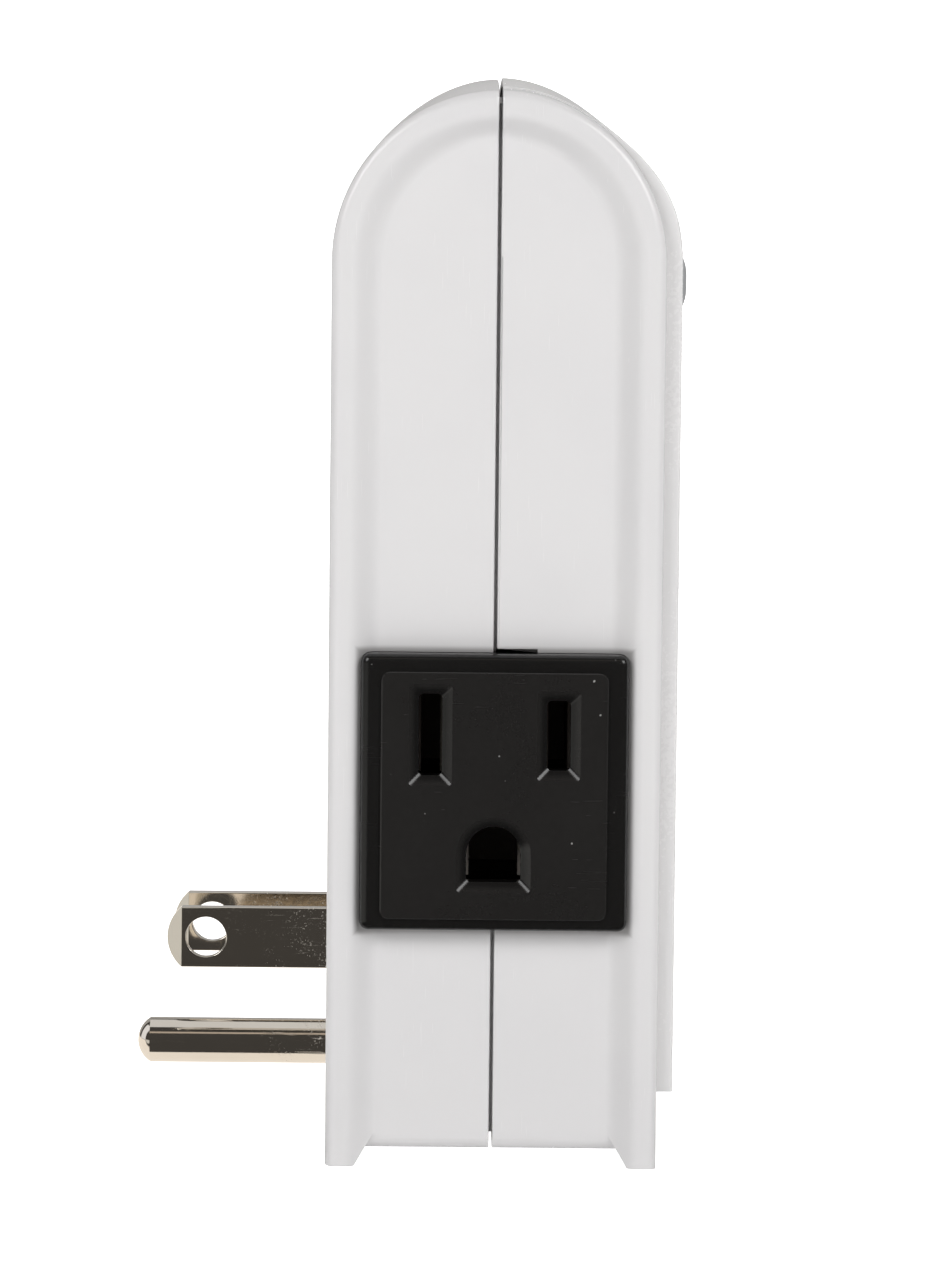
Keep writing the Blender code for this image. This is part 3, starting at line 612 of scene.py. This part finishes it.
glass_finish, shader, place = finish("liquid_crystal", IOR=1.5)
weave = place.noise(3500.0, 1.0)
(weave * 0.5 + place.noise(60.0) * 0.5).tint((0.36, 0.41, 0.33), (0.44, 0.49, 0.4)).to(shader, "Base Color")
(0.18 + weave * 0.1).to(shader, "Roughness")
frame["nodes"]["lcd_glass"].data.materials[0] = glass_finish

segment_ink, shader, place = finish("segment_ink", Roughness=0.4)
place.noise(900.0).tint((0.25, 0.29, 0.24), (0.29, 0.33, 0.27)).to(shader, "Base Color")


def digit_bars(left, low, wide, tall, stroke):
    """The seven bars of one display digit: middle and size of each."""
    right, top, middle = left + wide, low + tall, low + tall / 2
    half = tall / 2 - stroke * 1.3
    bars = [((left + right) / 2, z, wide - stroke * 1.3, stroke) for z in (low, middle, top)]
    for x in (left, right):
        bars += [(x, (low + middle) / 2, stroke, half), (x, (middle + top) / 2, stroke, half)]
    return bars


glass_x = (glass_low.x + glass_high.x) / 2
glass_z = (glass_low.z + glass_high.z) / 2
bars = []
for place_number in range(4):
    left = glass_x + (place_number * 7.4 - 16.5) * MM
    bars += digit_bars(left, glass_z - 6.8 * MM, 5.2 * MM, 9.2 * MM, 0.9 * MM)
for place_number in range(3):
    left = glass_x + (place_number * 4.0 + 6.0) * MM
    bars += digit_bars(left, glass_z + 4.2 * MM, 2.2 * MM, 3.2 * MM, 0.4 * MM)
bm = bmesh.new()
for x, z, wide, tall in bars:
    made = bmesh.ops.create_cube(bm, size=1)["verts"]
    bmesh.ops.scale(bm, vec=(wide, 0.03 * MM, tall), verts=made)
    bmesh.ops.translate(bm, vec=(x, glass_low.y - 0.02 * MM, z), verts=made)
    upright = {e for v in made for e in v.link_edges if abs(e.verts[0].co.y - e.verts[1].co.y) > 1e-6}
    corner = min(wide, tall) * 0.32
    bmesh.ops.bevel(
        bm, geom=list(upright), offset=corner, segments=1, profile=0.5, affect="EDGES", material=-1
    )
segments = solid("display_segments", bm)
show(segments, segment_ink, "case")

# ---------------------------------------------------------------------------
# Outlet block
# Glossy black moulding: a round-edged frame with a slightly raised face plate.
# The slots and the D-shaped ground hole have chamfered mouths. Its face carries
# fine rubs and a little dust.

outlet_y = (outlet_low.y + outlet_high.y) / 2
outlet_z = (outlet_low.z + outlet_high.z) / 2
plate_proud = 0.35 * MM
face_x = outlet_low.x
slot_z = 23.6 * MM
slot_spacing = 12.7 * MM
ground_z = slot_z - 11.9 * MM
plate_half = (11.25 * MM, 12.3 * MM)
plate_z = outlet_z - 0.3 * MM


def outside(place, middle, half):
    """How far a place lies outside a rectangle in the outlet's plane."""
    spans = []
    for axis in (1, 2):
        offset = place.node("ShaderNodeSeparateXYZ", {}, {"Vector": place}, axis) - middle[axis - 1]
        spans.append(offset.math("ABSOLUTE", offset) - half[axis - 1])
    return spans[0].math("MAXIMUM", *spans)


outlet_black, shader, place = finish("outlet_black", IOR=1.5)
skin = place.noise(1800.0, 3.0)
cloud = place.noise(90.0, 4.0)
dust = place.noise(1500.0, 0.5).rise(0.8, 0.84) * place.noise(130.0).rise(0.55, 0.62)
hairs = place.stretched((300.0, 250.0, 6000.0)).noise(1.0, 1.0).rise(0.68, 0.75)
rubs = hairs * place.noise(160.0).rise(0.5, 0.62)
body = (cloud * 0.7 + skin * 0.3).tint((0.0118, 0.011, 0.0105), (0.019, 0.0182, 0.0175))
specked = {"Factor": dust, 6: body, 7: (0.35, 0.35, 0.34, 1)}
body = dust.node("ShaderNodeMix", {"data_type": "RGBA"}, specked, 2)
# The frame ring outside the raised plate is given a darker colour, and inside the mouths and wells the
# black darkens with depth: painted shade in the recesses.
ring = outside(place, (outlet_y, plate_z), plate_half).rise(-0.0001, 0.0001)
sunk_shade = place.node("ShaderNodeSeparateXYZ", {}, {"Vector": place}).rise(face_x + 0.1 * MM, face_x + 0.5 * MM)
ring_and_sunk_shade = {"Factor": ring * 0.6 + (1.0 - ring) * sunk_shade * 0.8, 6: body, 7: (0.003, 0.003, 0.003, 1)}
body.node("ShaderNodeMix", {"data_type": "RGBA"}, ring_and_sunk_shade, 2).to(shader, "Base Color")
(0.17 + cloud * 0.12 + rubs * 0.08 + dust * 0.3).to(shader, "Roughness")
(skin - rubs * 0.12).bump(0.05, 0.00004).to(shader, "Normal")


def pad(name, low, high, corner, edge, edge_steps=4):
    """A block that faces -X, with round corners and a rolled front edge."""
    block = slab(name, low, high, corner, axis=0, steps=6)
    bm = bmesh.new()
    bm.from_mesh(block.data)
    front = [e for e in bm.edges if all(abs(v.co.x - low[0]) < 1e-7 for v in e.verts)]
    bmesh.ops.bevel(
        bm, geom=front, offset=edge, segments=edge_steps, profile=0.5, affect="EDGES", material=-1
    )
    bm.to_mesh(block.data)
    bm.free()
    return block


def mouth(name, y, z, size, round_top=False):
    """A blade slot or the ground hole: a 45 degree mouth, then a straight well."""
    bm = bmesh.new()
    chamfer = MM
    chamfer_depth = 0.62 * MM
    half_y, half_z = size[0] / 2 + chamfer, size[1] / 2 + chamfer
    if round_top:
        top = rolled((0, z + size[1] / 2 + chamfer - half_y), half_y, 0, 180, 20)
        outline = [(-half_y, z - half_z), (half_y, z - half_z)] + top
    else:
        outline = [(-half_y, z - half_z), (half_y, z - half_z), (half_y, z + half_z), (-half_y, z + half_z)]
    start = face_x - 0.3 * MM
    face = bm.faces.new([bm.verts.new((start, y + along, up)) for along, up in outline])
    for x, inset in ((face_x, 0), (face_x + chamfer_depth, chamfer), (face_x + 4 * MM, 0)):
        if inset:
            bmesh.ops.inset_region(bm, faces=[face], thickness=inset, use_even_offset=True)
        else:
            grown = bmesh.ops.extrude_face_region(bm, geom=[face])["geom"]
            face = [item for item in grown if isinstance(item, bmesh.types.BMFace)][0]
        for vert in face.verts:
            vert.co.x = x
    clear_inside(bm)
    mitres = [
        e for e in bm.edges
        if 0.5 * MM < abs(e.verts[0].co.x - e.verts[1].co.x) < 0.8 * MM and e.calc_face_angle(0) > 0.3
    ]
    bmesh.ops.bevel(bm, geom=mitres, offset=0.34 * MM, segments=3, profile=0.5, affect="EDGES", material=-1)
    return solid(name, bm)


frame_x = face_x + plate_proud
shoulder_x = -half_width + 4.1 * MM
block = pad("socket_block", (frame_x, outlet_low.y, outlet_low.z),
            (shoulder_x, outlet_high.y, outlet_high.z), 0.9 * MM, 0.8 * MM, 8)
body_half = (11.5 * MM, 12.3 * MM)
raised = pad("raised_face", (face_x, outlet_y - plate_half[0], plate_z - plate_half[1]),
             (shoulder_x - MM, outlet_y + plate_half[0], plate_z + plate_half[1]), 0.9 * MM, 0.22 * MM, 3)
rear_body = slab("rear_body", (shoulder_x - MM, outlet_y - body_half[0], outlet_z - body_half[1]),
                 (outlet_high.x, outlet_y + body_half[0], outlet_z + body_half[1]), 0.5 * MM, axis=0)
carve(block, [rear_body], "UNION")
carve(block, [raised], "UNION")
openings = []
for name, side, size in (("neutral", 1, (2.33 * MM, 8.1 * MM)), ("hot", -1, (2.34 * MM, 6.9 * MM))):
    y = outlet_y + side * slot_spacing / 2
    openings.append(mouth(f"{name}_mouth", y, slot_z, size))
    well_low = (face_x + 3 * MM, y - 3 * MM, slot_z - 5 * MM)
    openings.append(slab(f"{name}_well", well_low, (0, y + 3 * MM, slot_z + 5 * MM)))
openings.append(mouth("ground_mouth", outlet_y, ground_z + 0.05 * MM, (5.4 * MM, 5.5 * MM), True))
openings.append(slab("ground_well", (face_x + 3 * MM, outlet_y - 4.2 * MM, ground_z - 4.2 * MM),
                     (0, outlet_y + 4.2 * MM, ground_z + 4.2 * MM)))
for opening in openings:
    carve(block, [opening])
show(block, outlet_black, "case", ["outlet_housing"], sharp=20)

# Painted shade and a painted dark reflection of the black block: the white plastic darkens in a thin line
# and a faint haze round the block.
tree = case_white.node_tree
shader = tree.nodes["Principled BSDF"]
plain_white = Wire(tree, shader.inputs["Base Color"].links[0].from_socket)
place = Wire(tree, tree.nodes.new("ShaderNodeTexCoord").outputs["Object"])
block_half = ((outlet_high.y - outlet_low.y) / 2, (outlet_high.z - outlet_low.z) / 2)
beyond = outside(place, (outlet_y, outlet_z), block_half)
near_side = 1.0 - place.node("ShaderNodeSeparateXYZ", {}, {"Vector": place}).rise(-0.029, -0.0285)
shade_line = (1.0 - beyond.rise(0.0001, 0.0008)) * near_side * 0.6
shade_haze = (1.0 - beyond.rise(0.0003, 0.0022)) * near_side * 0.035
painted_shade = {"Factor": shade_line + shade_haze, 6: plain_white, 7: (0.16, 0.15, 0.145, 1)}
plain_white.node("ShaderNodeMix", {"data_type": "RGBA"}, painted_shade, 2).to(shader, "Base Color")

# ---------------------------------------------------------------------------
# Blades and ground pin
# Bright nickel over brass. The blades are blanked from strip, with a locking
# hole and a bevelled, bowed tip; the pin is turned, with a domed nose. Wear
# shows as pin pricks and short scratches, thickest near the case.

nickel, shader, place = finish("nickel_plate", Metallic=1.0)
split = place.node("ShaderNodeSeparateXYZ", {}, {"Vector": place}, "Y")
near_root = 1.0 - split.rise(0.002, 0.016)
pricks = place.noise(4200.0, 1.0).rise(0.57, 0.72)
pricks = pricks * (0.1 + near_root * 0.9) * place.noise(420.0).rise(0.42, 0.62)
marks = place.stretched((2500.0, 260.0, 4200.0)).noise(1.0, 1.0).rise(0.66, 0.74) * near_root
warmth = place.noise(240.0, 2.0)
warmth.tint((0.72, 0.67, 0.595), (0.8, 0.755, 0.685)).to(shader, "Base Color")
(0.06 + warmth * 0.05 + pricks * 0.3 + marks * 0.2).to(shader, "Roughness")
(warmth * 0.4 - pricks * 0.45 - marks * 0.25).bump(0.25, 0.00005).to(shader, "Normal")

blade_half_x = (blade_high.x - blade_low.x) / 2
blade_half_z = (blade_high.z - blade_low.z) / 2
tip_bevel = 1.55 * MM
hole_y = blade_high.y - 4.05 * MM
hole_radius = 2.1 * MM


def blade(name, low, high, node):
    """A blade: strip with a bowed end, bevelled on both faces, and a round hole."""
    bm = bmesh.new()
    bow = (tip_bevel ** 2 + blade_half_z ** 2) / (2 * tip_bevel)
    half_turn = math.degrees(math.asin(blade_half_z / bow))
    arc = rolled((high.y - bow, 0), bow, -half_turn, half_turn, 16)
    outline = [(low.y, -blade_half_z), (high.y - tip_bevel, -blade_half_z)] + arc[1:-1]
    outline += [(high.y - tip_bevel, blade_half_z), (low.y, blade_half_z)]
    face = bm.faces.new([bm.verts.new((low.x, y, z)) for y, z in outline])
    grown = bmesh.ops.extrude_face_region(bm, geom=[face])["geom"]
    verts = [item for item in grown if isinstance(item, bmesh.types.BMVert)]
    bmesh.ops.translate(bm, vec=(high.x - low.x, 0, 0), verts=verts)
    rim = 0.16 * MM
    long = [e for e in bm.edges if e.calc_length() > 10 * MM]
    bmesh.ops.bevel(bm, geom=long, offset=rim, segments=3, profile=0.5, affect="EDGES", material=-1)
    strip = solid(name, bm)
    middle = (low.x + high.x) / 2
    wedges = []
    for side in (-1, 1):
        wedge = slab("wedge", (-MM, 0, -6 * MM), (MM, 4 * MM, 6 * MM))
        turn = Matrix.Rotation(side * math.radians(17), 4, "Z")
        shift = Matrix.Translation((middle + side * blade_half_x, high.y - tip_bevel, 0))
        wedge.data.transform(shift @ turn @ Matrix.Translation((side * MM, 0, 0)))
        wedges.append(wedge)
    ends = [(middle + side * 2 * MM, hole_y, 0) for side in (-1, 1)]
    carve(strip, wedges + [rod("lock_hole", ends[0], ends[1], hole_radius, axis=0, sides=64)])
    bm = bmesh.new()
    bm.from_mesh(strip.data)
    around = [
        e for e in bm.edges
        if all(abs(math.hypot(v.co.y - hole_y, v.co.z) - hole_radius) < 1e-6 for v in e.verts)
        and abs(e.verts[0].co.x - e.verts[1].co.x) < 1e-7
    ]
    bmesh.ops.bevel(bm, geom=around, offset=0.14 * MM, segments=2, profile=0.5, affect="EDGES", material=-1)
    bm.to_mesh(strip.data)
    bm.free()
    return show(strip, nickel, "case", [node], sharp=24)


blade("neutral_prong", blade_low, blade_high, "neutral_blade")
blade("hot_prong", hot_low, hot_high, "hot_blade")

nose = 1.35 * MM
bow = (nose ** 2 + pin_radius ** 2) / (2 * nose)
profile = [(pin_low.y, 0.0), (pin_low.y, pin_radius), (pin_high.y - nose, pin_radius)]
half_turn = math.asin(pin_radius / bow)
for step in range(1, 10):
    angle = half_turn * (1 - step / 9)
    profile.append((pin_high.y - bow + bow * math.cos(angle), bow * math.sin(angle)))
bm = bmesh.new()
verts = [bm.verts.new((pin_middle.x + out, y, pin_middle.z)) for y, out in profile]
edges = [bm.edges.new(pair) for pair in zip(verts, verts[1:])]
centre = (pin_middle.x, 0, pin_middle.z)
bmesh.ops.spin(
    bm, geom=verts + edges, cent=centre, axis=(0, 1, 0), angle=math.tau, steps=96, use_merge=True
)
pin = solid("earth_pin", bm)
show(pin, nickel, "case", ["ground_pin"], sharp=24)

# ---------------------------------------------------------------------------
# Case screws
# Zinc-plated cross-head screws, sunk in wells in the rear half.

zinc, shader, place = finish("zinc_plate", Metallic=1.0)
bloom = place.noise(900.0, 3.0)
bloom.tint((0.5, 0.49, 0.46), (0.66, 0.65, 0.62)).to(shader, "Base Color")
(0.22 + bloom * 0.2).to(shader, "Roughness")
bloom.bump(0.15, 0.00005).to(shader, "Normal")
for name, (low, high) in screws.items():
    middle = (low + high) / 2
    head = (high.x - low.x) / 2
    outline = [(low.y, 0.0), (low.y, 0.5 * MM), (low.y + MM, 1.4 * MM), (high.y - 2.3 * MM, 1.4 * MM)]
    outline += [(high.y - 2.3 * MM, head), (high.y - 1.1 * MM, head)]
    outline += [(high.y - 0.5 * MM, head * 0.86), (high.y - 0.1 * MM, head * 0.45), (high.y, 0.0)]
    bm = bmesh.new()
    verts = [bm.verts.new((middle.x + out, y, middle.z)) for y, out in outline]
    edges = [bm.edges.new(pair) for pair in zip(verts, verts[1:])]
    centre = (middle.x, 0, middle.z)
    bmesh.ops.spin(
        bm, geom=verts + edges, cent=centre, axis=(0, 1, 0), angle=math.tau, steps=40, use_merge=True
    )
    screw = solid(f"{name}_turned", bm)
    arms = []
    for wide, tall in ((0.45 * MM, 1.7 * MM), (1.7 * MM, 0.45 * MM)):
        near = (middle.x - wide, high.y - 1.4 * MM, middle.z - tall)
        arms.append(slab("cross", near, (middle.x + wide, high.y + MM, middle.z + tall)))
    for arm in arms:
        carve(screw, [arm])
    show(screw, zinc, "case", [name])

# ---------------------------------------------------------------------------
# Rating label
# A silver film label in a shallow pocket in the rear face, left blank.

film, shader, place = finish("label_film", Metallic=0.3)
grain = place.stretched((180.0, 1.0, 5200.0)).noise(1.0, 2.0)
grain.tint((0.6, 0.6, 0.6), (0.7, 0.7, 0.69)).to(shader, "Base Color")
(0.32 + grain * 0.15).to(shader, "Roughness")
label = slab("blank_label", label_low, label_high, 1.0 * MM)
show(label, film, "case", ["rear_label"])

# ---------------------------------------------------------------------------
# Inside the case
# Boards, parts, contacts and strips. They keep the shapes of the frame and get
# their own finishes here.


def worked(name, low, high, roughness, metallic=0.0, scale=700.0, grain=0.15):
    """A finish between two colours with a fine grain, for a part inside the case."""
    material, shader, place = finish(name, Metallic=metallic)
    spread = place.noise(scale, 3.0)
    spread.tint(low, high).to(shader, "Base Color")
    (roughness + spread * 0.2).to(shader, "Roughness")
    spread.bump(grain, 0.00005).to(shader, "Normal")
    return material


board, shader, place = finish("green_board", IOR=1.5)
brick = {"Vector": place, "Scale": 260.0, "Mortar Size": 0.03, "Mortar Smooth": 0.1}
tracks = place.node("ShaderNodeTexBrick", {}, brick, "Fac")
(1.0 - tracks).tint((0.06, 0.3, 0.1), (0.012, 0.13, 0.045)).to(shader, "Base Color")
(0.3 + tracks * 0.1).to(shader, "Roughness")
tracks.bump(0.3, 0.00004).to(shader, "Normal")
brass, shader, place = finish("brass_strip", Metallic=1.0)
# Strip ends near the outlet face turn from brass to a rough grey: painted shade on the contacts deep in the
# slots.
unshaded_back = place.node("ShaderNodeSeparateXYZ", {}, {"Vector": place}).rise(-0.012, -0.006)
spread = place.noise(700.0, 3.0)
(unshaded_back * (0.8 + spread * 0.2)).tint((0.4, 0.37, 0.34), (0.64, 0.46, 0.2)).to(shader, "Base Color")
(0.6 - unshaded_back * 0.35 + spread * 0.1).to(shader, "Roughness")
inside = {
    "board_green": board,
    "part_black": worked("part_black", (0.012, 0.012, 0.013), (0.03, 0.03, 0.032), 0.4),
    "switch_cream": worked("switch_cream", (0.6, 0.55, 0.45), (0.68, 0.63, 0.53), 0.4),
    "connector_rubber": worked("connector_rubber", (0.5, 0.3, 0.3), (0.62, 0.38, 0.37), 0.6),
    "brass": brass,
    "shunt_alloy": worked("shunt_alloy", (0.5, 0.3, 0.18), (0.62, 0.4, 0.26), 0.3, 1.0),
    "film_yellow": worked("film_yellow", (0.7, 0.5, 0.04), (0.8, 0.6, 0.08), 0.4),
    "coating_blue": worked("coating_blue", (0.02, 0.08, 0.36), (0.04, 0.12, 0.5), 0.3),
    "screw_steel": zinc,
    "outlet_black": worked("base_black", (0.01, 0.01, 0.01), (0.022, 0.022, 0.022), 0.35),
}
replaced = {"front_shell", "rear_shell", "front_cover", "lcd_lens", "outlet_housing", "rear_label",
            "neutral_blade", "hot_blade", "ground_pin", "lcd_glass", *keys, *screws}
for part in frame["record"]["subparts"]:
    if part["node"] not in replaced:
        frame["nodes"][part["node"]].data.materials[0] = inside[part["material_slot"]]

# ---------------------------------------------------------------------------
# Table, lights and camera
# A pale table and a bright backdrop, with two soft lights beside the camera and
# one over the top. The camera looks at the outlet side from a little above.


def stage_sheet(name, corners, colour, glow, glow_colour=(1, 1, 1)):
    bm = bmesh.new()
    bm.faces.new([bm.verts.new(corner) for corner in corners])
    mesh = bpy.data.meshes.new(name)
    bm.to_mesh(mesh)
    bm.free()
    sheet = bpy.data.objects.new(name, mesh)
    bpy.context.scene.collection.objects.link(sheet)
    material, shader, place = finish(name, Roughness=0.8, Emission_Strength=glow)
    shader.inputs["Emission Color"].default_value = (*glow_colour, 1)
    tone = tuple(channel * 0.98 for channel in colour)
    place.noise(6.0).tint(tone, colour).to(shader, "Base Color")
    mesh.materials.append(material)
    return sheet


floor_z = base_z - 0.02 * MM
table_corners = ((-1.5, -1.5, floor_z), (1, -1.5, floor_z), (1, 1.5, floor_z), (-1.5, 1.5, floor_z))
table = stage_sheet("table", table_corners, (0.9, 0.9, 0.9), 1.0)
table.visible_glossy = False
wired = table.data.materials[0].node_tree
seen = Wire(wired, wired.nodes.new("ShaderNodeLightPath").outputs["Is Camera Ray"])
seen.tint((0.25, 0.25, 0.25), (1, 1, 1)).to(wired.nodes["Principled BSDF"], "Emission Color")
backdrop = stage_sheet("backdrop", ((1, -1.5, -0.1), (1, 1.5, -0.1), (1, 1.5, 1.2), (1, -1.5, 1.2)),
                       (0.9, 0.9, 0.9), 1.0)
backdrop.visible_glossy = False


def reflector(name, corners, colour, glow):
    """A card that only the shiny parts see."""
    sheet = stage_sheet(name, corners, (0.02, 0.02, 0.02), glow, colour)
    sheet.visible_camera = False
    sheet.visible_diffuse = False
    sheet.visible_shadow = False


under = floor_z - MM
low_card = ((-0.0065, -0.3, under), (0.6, -0.3, under), (0.6, 0.3, under), (-0.0065, 0.3, under))
reflector("sheen_under", low_card, (1.0, 0.93, 0.85), 1.0)
side_card = ((-0.6, 0.06, under), (-0.01, 0.06, under), (-0.01, 0.6, under), (-0.6, 0.6, under))
reflector("sheen_side", side_card, (1.0, 0.98, 0.92), 0.68)
strip_card = ((-0.52, -0.15, 0.42), (-0.52, 0.15, 0.42), (-0.46, 0.15, 0.5), (-0.46, -0.15, 0.5))
reflector("sheen_strip", strip_card, (1.0, 0.85, 0.7), 0.5)
reflector("sheen_behind", ((0.8, -0.8, 0), (0.8, 0.8, 0), (0.8, 0.8, 0.7), (0.8, -0.8, 0.7)),
          (1.0, 0.98, 0.95), 0.38)
for name, y in (("sheen_left", 0.5), ("sheen_right", -0.55)):
    card = ((-0.02, y, -0.02), (0.3, y, -0.02), (0.3, y, 0.35), (-0.02, y, 0.35))
    reflector(name, card, (0.97, 0.97, 1.0), 0.9)

world = bpy.data.worlds.new("studio")
bpy.context.scene.world = world
world.use_nodes = True
air = world.node_tree
seen = Wire(air, air.nodes.new("ShaderNodeLightPath").outputs["Is Camera Ray"])
seen.tint((0.06, 0.056, 0.052), (1, 1, 1)).to(air.nodes["Background"], "Color")


def soft_light(name, place, size, power):
    data = bpy.data.lights.new(name, "AREA")
    data.shape = "RECTANGLE"
    data.size, data.size_y = size
    data.energy = power
    lamp = bpy.data.objects.new(name, data)
    bpy.context.scene.collection.objects.link(lamp)
    lamp.location = place
    aim = Vector((0, seam_y, 0.03)) - Vector(place)
    lamp.rotation_euler = aim.to_track_quat("-Z", "Y").to_euler()


soft_light("rear_fill", (-0.66, 0.55, 0.5), (0.48, 0.48), 3.68)
soft_light("front_fill", (-0.66, -0.59, 0.5), (0.48, 0.48), 4.25)
soft_light("overhead", (0.17, seam_y, 0.8), (0.84, 0.9), 1.6)

scene = bpy.context.scene
scene.view_settings.view_transform = "Standard"
camera_data = bpy.data.cameras.new("camera")
camera_data.lens = 128.97
camera_data.clip_start = 0.01
camera = bpy.data.objects.new("camera", camera_data)
scene.collection.objects.link(camera)
yaw, pitch, roll = math.radians(-0.19), math.radians(3.863), math.radians(0.574)
forward = Vector((math.cos(pitch) * math.cos(yaw), math.cos(pitch) * math.sin(yaw), -math.sin(pitch)))
level = forward.cross(Vector((0, 0, 1))).normalized()
up = level.cross(forward)
right = level * math.cos(roll) + up * math.sin(roll)
up = up * math.cos(roll) - level * math.sin(roll)
camera.matrix_world = Matrix.Translation((-0.48281, -0.01213, 0.06348)) @ Matrix(
    (right, up, -forward)
).transposed().to_4x4()
scene.camera = camera
